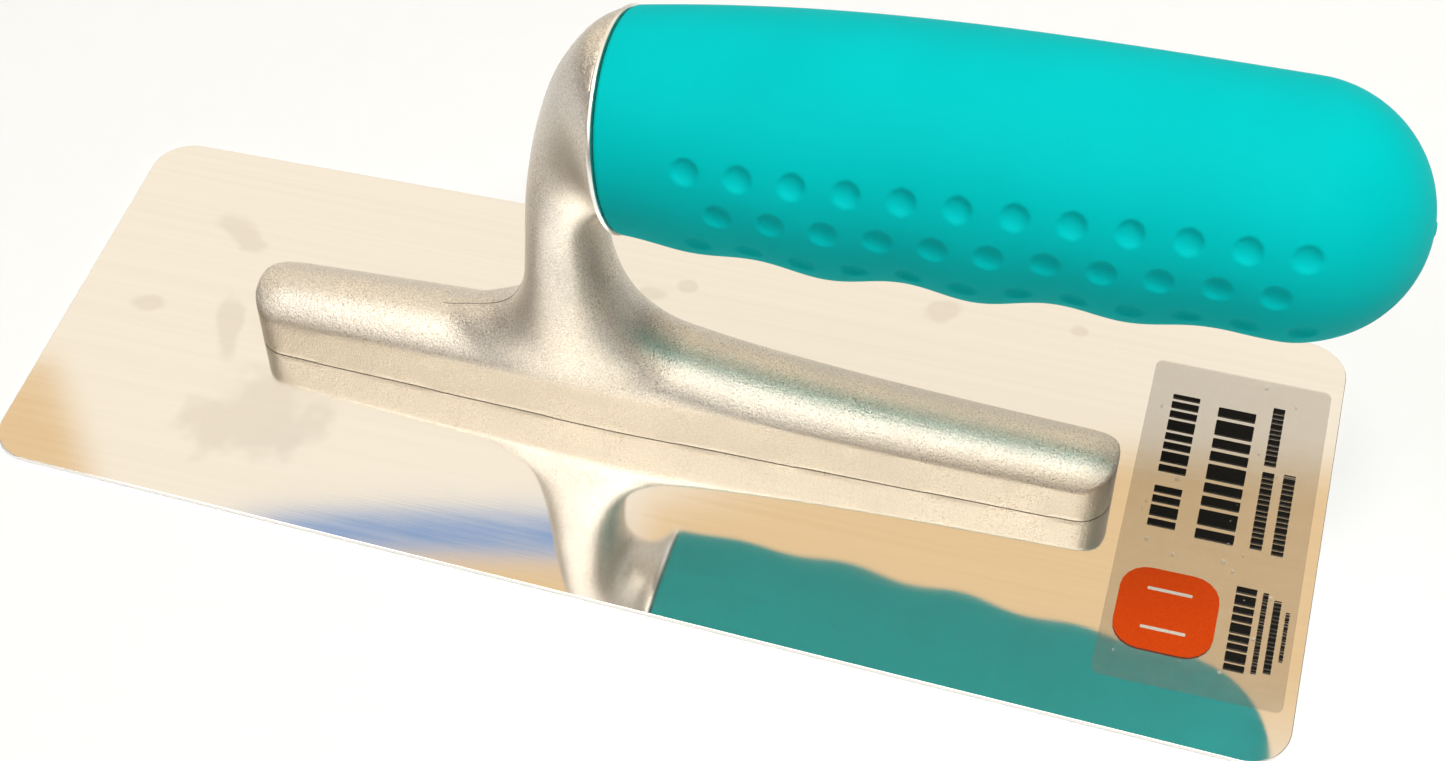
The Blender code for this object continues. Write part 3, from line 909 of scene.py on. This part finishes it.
def polished_steel():
    n = Surface("polished_brushed_steel")
    brush = n.noise(1.0, 3, 0.65, n.stretched(55, 5200, 5200))
    streak = n.noise(1.0, 2, 0.5, n.stretched(14, 900, 900))
    haze = n.noise(38, 3, 0.55)
    smudge = None
    wobble = n.remap(n.noise(170, 2, 0.5), 0.3, 0.7, -0.3, 0.3)
    for x, y, length, width, turn in SMUDGES:
        away = n.away((x * MM, y * MM, BLADE_TOP), (length * MM, width * MM, SMUDGE_DEPTH), turn)
        mark = n.remap(n.math("ADD", away, wobble), 0.6, 1.25, 1.0, 0.0, smooth=True)
        smudge = n.math("MAXIMUM", smudge, mark) if smudge else mark
    colour = n.mix(n.remap(streak, 0.3, 0.7, 0, 1),
                   (0.825, 0.805, 0.775, 1), (0.85, 0.832, 0.805, 1))
    colour = n.mix(n.math("MULTIPLY", smudge, 0.3), colour, (0.56, 0.525, 0.47, 1))
    rough = n.math("ADD", n.remap(streak, 0.3, 0.7, 0.03, 0.05),
                   n.remap(haze, 0.45, 0.75, 0.0, 0.02))
    rough = n.math("ADD", rough, n.math("MULTIPLY", smudge, 0.06))
    normal = n.bump(brush, 0.03, 0.00002)
    return n.connect(Base_Color=colour, Metallic=0.965, Roughness=rough, Normal=normal)


def teal_rubber():
    n = Surface("teal_soft_rubber")
    fine = n.noise(5200, 2, 0.6)
    cloud = n.noise(45, 3, 0.5)
    colour = n.mix(n.remap(cloud, 0.3, 0.7, 0, 1), (0.0, 0.415, 0.412, 1), (0.0, 0.45, 0.446, 1))
    colour = n.mix(n.remap(fine, 0.62, 0.8, 0.0, 0.12), colour, (0.015, 0.31, 0.30, 1))
    rough = n.math("ADD", n.remap(fine, 0.3, 0.7, 0.50, 0.62),
                   n.remap(cloud, 0.3, 0.7, -0.03, 0.03))
    return n.connect(Base_Color=colour, Roughness=rough, Normal=n.bump(fine, 0.25, 0.00005),
                     Specular_IOR_Level=0.02)


def clear_film():
    n = Surface("clear_label_film")
    cloud = n.noise(420, 3, 0.6)
    fine = n.noise(2600, 2, 0.5)
    colour = n.mix(n.remap(cloud, 0.35, 0.65, 0, 1), (0.15, 0.12, 0.085, 1), (0.21, 0.175, 0.13, 1))
    rough = n.remap(fine, 0.3, 0.7, 0.18, 0.30)
    return n.connect(Base_Color=colour, Roughness=rough, Alpha=0.11,
                     Normal=n.bump(cloud, 0.25, 0.00004))


def bubble_film():
    n = Surface("label_bubble_film")
    cloud = n.noise(2600, 2, 0.6)
    colour = n.mix(cloud, (0.72, 0.68, 0.60, 1), (0.86, 0.83, 0.77, 1))
    return n.connect(Base_Color=colour, Roughness=n.remap(cloud, 0.3, 0.7, 0.2, 0.35), Alpha=0.16,
                     Normal=n.bump(cloud, 0.2, 0.00003))


def ink(name, dark, light):
    n = Surface(name)
    fine = n.noise(3800, 3, 0.6)
    worn = n.noise(900, 3, 0.6)
    colour = n.mix(n.remap(fine, 0.3, 0.7, 0, 1), dark, light)
    rough = n.remap(worn, 0.3, 0.7, 0.30, 0.48)
    return n.connect(Base_Color=colour, Roughness=rough, Normal=n.bump(fine, 0.2, 0.00002),
                     Specular_IOR_Level=0.06)


def stud_steel():
    n = Surface("stud_turned_steel")
    lines = n.noise(1.0, 2, 0.6, n.stretched(900, 900, 9000))
    colour = n.mix(lines, (0.48, 0.47, 0.46, 1), (0.64, 0.63, 0.61, 1))
    rough = n.remap(lines, 0.3, 0.7, 0.28, 0.42)
    return n.connect(Base_Color=colour, Metallic=1.0, Roughness=rough,
                     Normal=n.bump(lines, 0.3, 0.00003))


def core_plastic():
    n = Surface("core_moulded_plastic")
    fine = n.noise(1800, 3, 0.6)
    colour = n.mix(fine, (0.025, 0.026, 0.028, 1), (0.045, 0.046, 0.05, 1))
    return n.connect(Base_Color=colour, Roughness=n.remap(fine, 0.3, 0.7, 0.42, 0.58),
                     Normal=n.bump(fine, 0.3, 0.00006))


def pale_floor():
    n = Surface("pale_floor")
    fine = n.noise(160, 3, 0.5)
    colour = n.mix(fine, (0.72, 0.72, 0.715, 1), (0.75, 0.75, 0.745, 1))
    return n.connect(Base_Color=colour, Roughness=n.remap(fine, 0.3, 0.7, 0.7, 0.85),
                     Normal=n.bump(fine, 0.05, 0.0001))


def dress_cad_nodes():
    """CAD pieces that stay as they are get their own detailed materials."""
    finishes = {"handle_core": core_plastic()}
    steel = stud_steel()
    for number in range(1, len(STUD_POSITIONS) + 1):
        finishes[f"blade_stud_{number}"] = steel
    for name, finish in finishes.items():
        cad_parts[name].material_slots[0].material = finish


# ---------------------------------------------------------------- stage, lights and camera

def make_floor():
    steps = FLOOR_STEPS
    places = [FLOOR_HALF_WIDTH * (i / steps - 0.5) * 2 for i in range(steps + 1)]
    vertices = [(x, y, FLOOR_HEIGHT) for x in places for y in places]
    faces = []
    for i in range(steps):
        for j in range(steps):
            a = i * (steps + 1) + j
            faces.append((a, a + 1, a + steps + 2, a + steps + 1))
    floor = new_object("floor", vertices, faces, pale_floor())


class Sky(NodeTree):
    """World light built from soft patches, placed by azimuth from +Y and elevation in degrees."""

    def __init__(self):
        world = bpy.data.worlds.new("studio")
        world.use_nodes = True
        bpy.context.scene.world = world
        self.tree = world.node_tree
        self.output = self.tree.nodes["Background"]
        direction = self.add("ShaderNodeTexCoord").outputs["Generated"]
        split = self.add("ShaderNodeSeparateXYZ", {"Vector": direction})
        x, y, z = split.outputs
        turn = self.math("ARCTAN2", x, y)
        self.azimuth = self.math("MULTIPLY", turn, 180 / math.pi)
        self.elevation = self.math("MULTIPLY", self.math("ARCSINE", z), 180 / math.pi)

    def step(self, value, low, high):
        return self.remap(value, low, high, 0.0, 1.0, smooth=True)

    def band(self, value, low, high, soft_low, soft_high):
        rise = self.step(value, low, low + soft_low)
        fall = self.step(value, high, high - soft_high)
        return self.math("MULTIPLY", rise, fall)

    def paint(self, base, colour, share):
        """Lay a colour over the base where the share is 1."""
        return self.mix(share, base, colour)

    def product(self, first, *others):
        for other in others:
            first = self.math("MULTIPLY", first, other)
        return first


def make_world():
    """Warm pale room: cream above and behind, dim low in front, with soft tan and blue cards.

    It shows only in reflections; the camera sees plain white, and body colours are lit by lamps.
    """
    sky = Sky()
    from_back = sky.math("ABSOLUTE", sky.azimuth)
    front = sky.band(from_back, 95, 181, 40, 0.5)
    back = sky.band(from_back, -1, 110, 0.5, 50)
    colour = sky.paint(ROOM, ZENITH, sky.step(sky.elevation, 56, 68))
    high_front = sky.product(front, sky.step(sky.elevation, 24, 36),
                             sky.step(sky.elevation, 68, 56))
    colour = sky.paint(colour, HIGH_FRONT, high_front)
    colour = sky.paint(colour, BACK_WALL, sky.product(sky.step(sky.elevation, 2, 20), back))
    right_side = sky.product(sky.band(sky.azimuth, 22, 120, 14, 30),
                             sky.band(sky.elevation, 0, 62, 5, 14))
    colour = sky.paint(colour, RIGHT_SIDE, right_side)
    colour = sky.paint(colour, LOW_FRONT, sky.product(front, sky.step(sky.elevation, 27, 17)))
    left_side = sky.product(sky.band(sky.azimuth, -160, -62, 25, 14),
                            sky.band(sky.elevation, -20, 50, 4, 16))
    colour = sky.paint(colour, LEFT_SIDE, left_side)

    # The cards stand behind the object; their edges slope a little with the azimuth.
    slope = sky.math("MULTIPLY", sky.azimuth, CARD_SLOPE)
    over_right = sky.math("SUBTRACT", sky.elevation, sky.math("SUBTRACT", 50.0, slope))
    right = sky.band(sky.azimuth, -20, 20, 2, 10)
    right_card = sky.product(sky.band(over_right, -0.1, 9, 1.3, 4), right)
    over_left = sky.math("SUBTRACT", sky.elevation, sky.math("ADD", 55.0, slope))
    left = sky.band(sky.azimuth, -36.5, -19.4, 5, 0.6)
    left_card = sky.product(sky.band(over_left, 0.8, 6, 0.5, 3), left)
    corner_card = sky.product(sky.band(sky.azimuth, -50, -37.2, 4, 1.5),
                              sky.band(sky.elevation, 46.6, 58, 0.8, 4))
    tan = sky.math("MAXIMUM", right_card, sky.math("MAXIMUM", left_card, corner_card))
    colour = sky.paint(colour, TAN_CARD, tan)
    blue = sky.product(sky.band(over_left, -0.25, 1.25, 0.6, 0.5), left)
    colour = sky.paint(colour, BLUE_CARD, blue)
    sky.tree.links.new(colour, sky.output.inputs["Color"])
    sky.output.inputs["Strength"].default_value = 1.0
    bpy.context.scene.world.cycles_visibility.diffuse = False
    plain = sky.add("ShaderNodeBackground", {"Color": (1.0, 1.0, 1.0, 1.0), "Strength": 1.0})
    seen = sky.add("ShaderNodeLightPath").outputs["Is Camera Ray"]
    mixed = sky.add("ShaderNodeMixShader", {0: seen, 1: sky.output.outputs[0], 2: plain.outputs[0]})
    sky.tree.links.new(mixed.outputs[0], sky.tree.nodes["World Output"].inputs["Surface"])


def area_light(name, azimuth, elevation, distance, width, height, watts, colour, glossy=True):
    """Soft box that faces the object; its azimuth runs from -Y towards +X.

    A glossy box shows only in reflections, any other lights only body colour.
    """
    data = bpy.data.lights.new(name, "AREA")
    data.shape = "RECTANGLE"
    data.size = width
    data.size_y = height
    data.energy = watts
    data.color = colour
    item = bpy.data.objects.new(name, data)
    a, e = math.radians(azimuth), math.radians(elevation)
    away = Vector((math.sin(a) * math.cos(e), -math.cos(a) * math.cos(e), math.sin(e)))
    item.location = away * distance
    item.rotation_euler = away.to_track_quat("Z", "Y").to_euler()
    item.visible_camera = False
    item.visible_glossy = glossy
    item.visible_diffuse = not glossy
    bpy.context.scene.collection.objects.link(item)


def make_lights():
    area_light("front_box", -12, 35.5, 1.5, 1.5, 0.46, 5.6, LAMP_WHITE)
    area_light("high_box", -8, 70.5, 1.5, 1.4, 0.40, 9.8, LAMP_WHITE)
    area_light("fill_box", -50, 52, 1.6, 1.4, 1.0, 6.5, FILL_WHITE, glossy=False)
    area_light("top_box", 60, 73, 1.6, 0.8, 0.8, 34.5, FILL_WHITE, glossy=False)


def make_camera():
    azimuth, elevation, roll = CAMERA_AZIMUTH, CAMERA_ELEVATION, CAMERA_ROLL
    back = Vector((math.sin(azimuth) * math.cos(elevation),
                   -math.cos(azimuth) * math.cos(elevation), math.sin(elevation)))
    level = (-back).cross(Vector((0, 0, 1))).normalized()
    upward = level.cross(-back)
    right = level * math.cos(roll) + upward * math.sin(roll)
    top = -level * math.sin(roll) + upward * math.cos(roll)
    data = bpy.data.cameras.new("camera")
    data.lens = CAMERA_LENS
    data.sensor_width = CAMERA_SENSOR
    data.clip_start = 0.01
    camera = bpy.data.objects.new("camera", data)
    place = Vector(CAMERA_TARGET) * MM + back * CAMERA_DISTANCE
    turned = Matrix((right, top, back)).transposed().to_4x4()
    camera.matrix_world = Matrix.Translation(place) @ turned
    bpy.context.scene.collection.objects.link(camera)
    bpy.context.scene.camera = camera


def make_pieces():
    aluminium = cast_aluminium()
    casting = make_casting(aluminium)
    make_parting_line(casting, parting_line_shade_metal(), aluminium)
    make_collar(machined_aluminium())
    make_tang(aluminium)
    rubber = teal_rubber()
    make_grip(rubber)
    make_gate_mark(rubber)
    make_blade(polished_steel())
    make_label_film(clear_film())
    make_label_bubbles(bubble_film())
    dark = ink("dark_print", (0.004, 0.0035, 0.003, 1), (0.010, 0.009, 0.008, 1))
    orange = ink("orange_print", (0.445, 0.036, 0.002, 1), (0.515, 0.05, 0.003, 1))
    pale = ink("pale_print", (0.42, 0.37, 0.30, 1), (0.55, 0.50, 0.42, 1))
    make_label_print(dark, orange, pale)
    dress_cad_nodes()


make_camera()
make_pieces()
make_floor()
make_world()
make_lights()
bpy.context.scene.view_settings.view_transform = "Standard"
